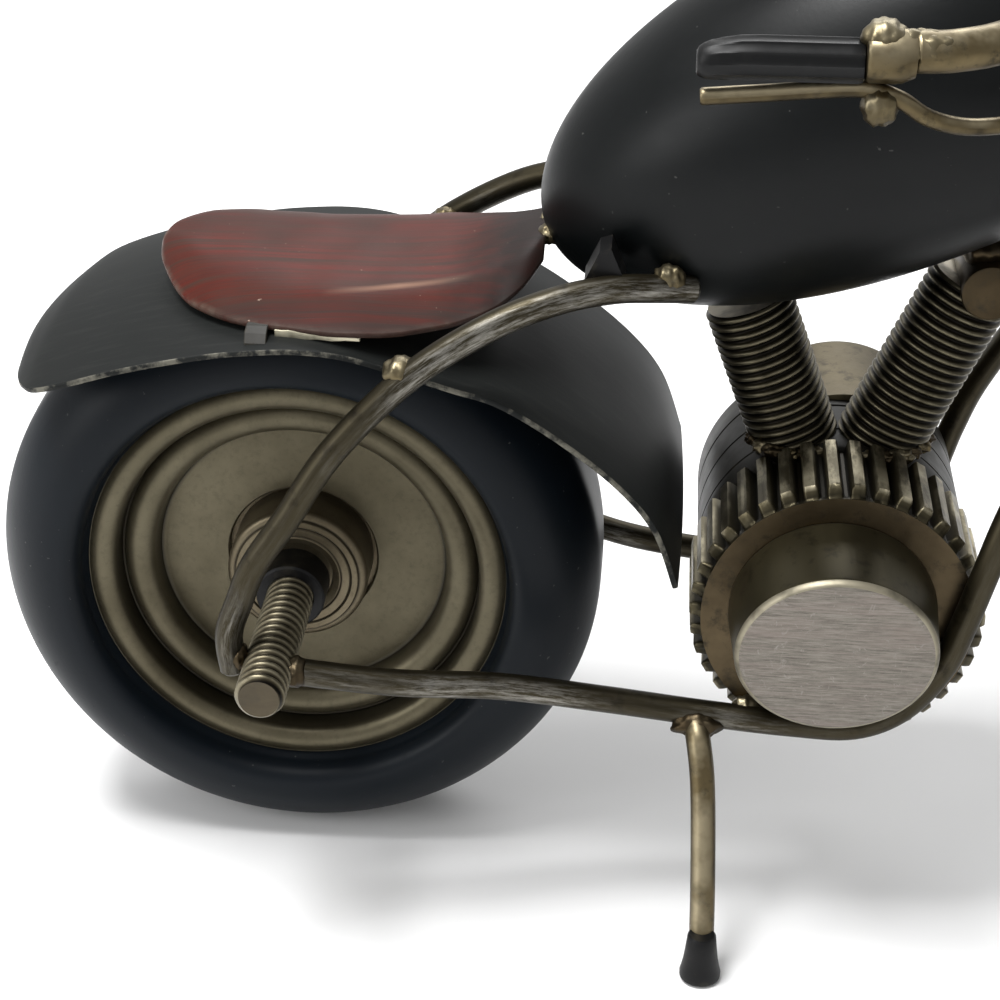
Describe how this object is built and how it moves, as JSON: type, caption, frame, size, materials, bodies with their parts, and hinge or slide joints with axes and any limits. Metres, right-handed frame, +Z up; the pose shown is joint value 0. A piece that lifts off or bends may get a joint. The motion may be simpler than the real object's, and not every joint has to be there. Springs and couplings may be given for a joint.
{
  "type": "decorative metal motorcycle model",
  "caption": "Welded-metal motorcycle model with bent-bar frame, fat tyres, egg-shaped tank, saddle seat, toothed engine, side stand and steerable raked fork.",
  "frame": {"origin": "centre of the whole model's footprint on the surface it stands on", "axes": "+X towards the front wheel, +Y to the rider's left, +Z up"},
  "size_m": [0.356, 0.1288, 0.1899],
  "materials": {
    "tyre_black": "matte blue-black",
    "pewter_sheet": "satin antique pewter",
    "bronzed_bar": "dark bronze, worn silver on the high spots",
    "black_sleeve": "satin black",
    "charcoal_sheet": "matte charcoal with bare edges",
    "oxblood_paint": "satin oxblood, streaked lengthwise",
    "black_enamel": "satin black",
    "engine_dark": "dark satin",
    "engine_brass": "antique brass",
    "brushed_steel": "linear brushed",
    "brass_patina": "aged brass",
    "grip_black": "ribbed satin black",
    "lamp_glass": "clear, domed"
  },
  "bodies": {
    "frame": {"rear_axle": "bronzed_bar", "right_frame_rail": "bronzed_bar", "left_frame_rail": "bronzed_bar", "right_seat_stay": "bronzed_bar", "left_seat_stay": "bronzed_bar", "seat_bracket": "bronzed_bar", "backbone_bar": "bronzed_bar", "head_tube": "bronzed_bar", "rear_cylinder": "bronzed_bar", "front_cylinder": "bronzed_bar", "rear_spacer_right": "black_sleeve", "rear_spacer_left": "black_sleeve", "kickstand_foot": "black_sleeve", "tank_gusset": "black_sleeve", "rear_mudguard": "charcoal_sheet", "seat_shell": "oxblood_paint", "tank": "black_enamel", "engine_barrel": "engine_dark", "gear_ring": "engine_brass", "tank_rest_bar": "engine_brass", "engine_cover_right": "brushed_steel", "engine_cover_left": "brushed_steel", "kickstand_bar": "brass_patina", "weld_beads": "brass_patina"},
    "rear_wheel": {"rear_tyre": "tyre_black", "rear_rim_right": "pewter_sheet", "rear_rim_left": "pewter_sheet", "rear_hub": "pewter_sheet"},
    "fork": {"steering_stem": "brushed_steel", "lower_clamp": "bronzed_bar", "upper_clamp": "bronzed_bar", "fork_leg_right": "brushed_steel", "fork_leg_left": "brushed_steel", "handlebar": "brass_patina", "bar_collar_right": "brass_patina", "bar_collar_left": "brass_patina", "grip_right": "grip_black", "grip_left": "grip_black", "lever_right": "brass_patina", "lever_left": "brass_patina", "lever_weld_right": "brass_patina", "lever_weld_left": "brass_patina", "front_axle": "bronzed_bar", "front_spacer_right": "black_sleeve", "front_spacer_left": "black_sleeve", "front_mudguard": "charcoal_sheet", "mudguard_stays": "brass_patina", "lamp_shell": "black_enamel", "lamp_lens": "lamp_glass", "lamp_post": "bronzed_bar"},
    "front_wheel": {"front_tyre": "tyre_black", "front_rim_right": "pewter_sheet", "front_rim_left": "pewter_sheet", "front_hub": "pewter_sheet"}
  },
  "joints": [
    {"name": "rear_wheel_spin", "type": "hinge", "parent": "frame", "child": "rear_wheel", "pos_m": [-0.12, 0, 0.058], "axis": [0, 1, 0], "continuous": true},
    {"name": "steering", "type": "hinge", "parent": "frame", "child": "fork", "pos_m": [0.04856, 0, 0.15722], "axis": [-0.5299, 0, 0.848], "range_deg": [-14, 14]},
    {"name": "front_wheel_spin", "type": "hinge", "parent": "fork", "child": "front_wheel", "pos_m": [0.12, 0, 0.058], "axis": [0, 1, 0], "continuous": true}
  ]
}
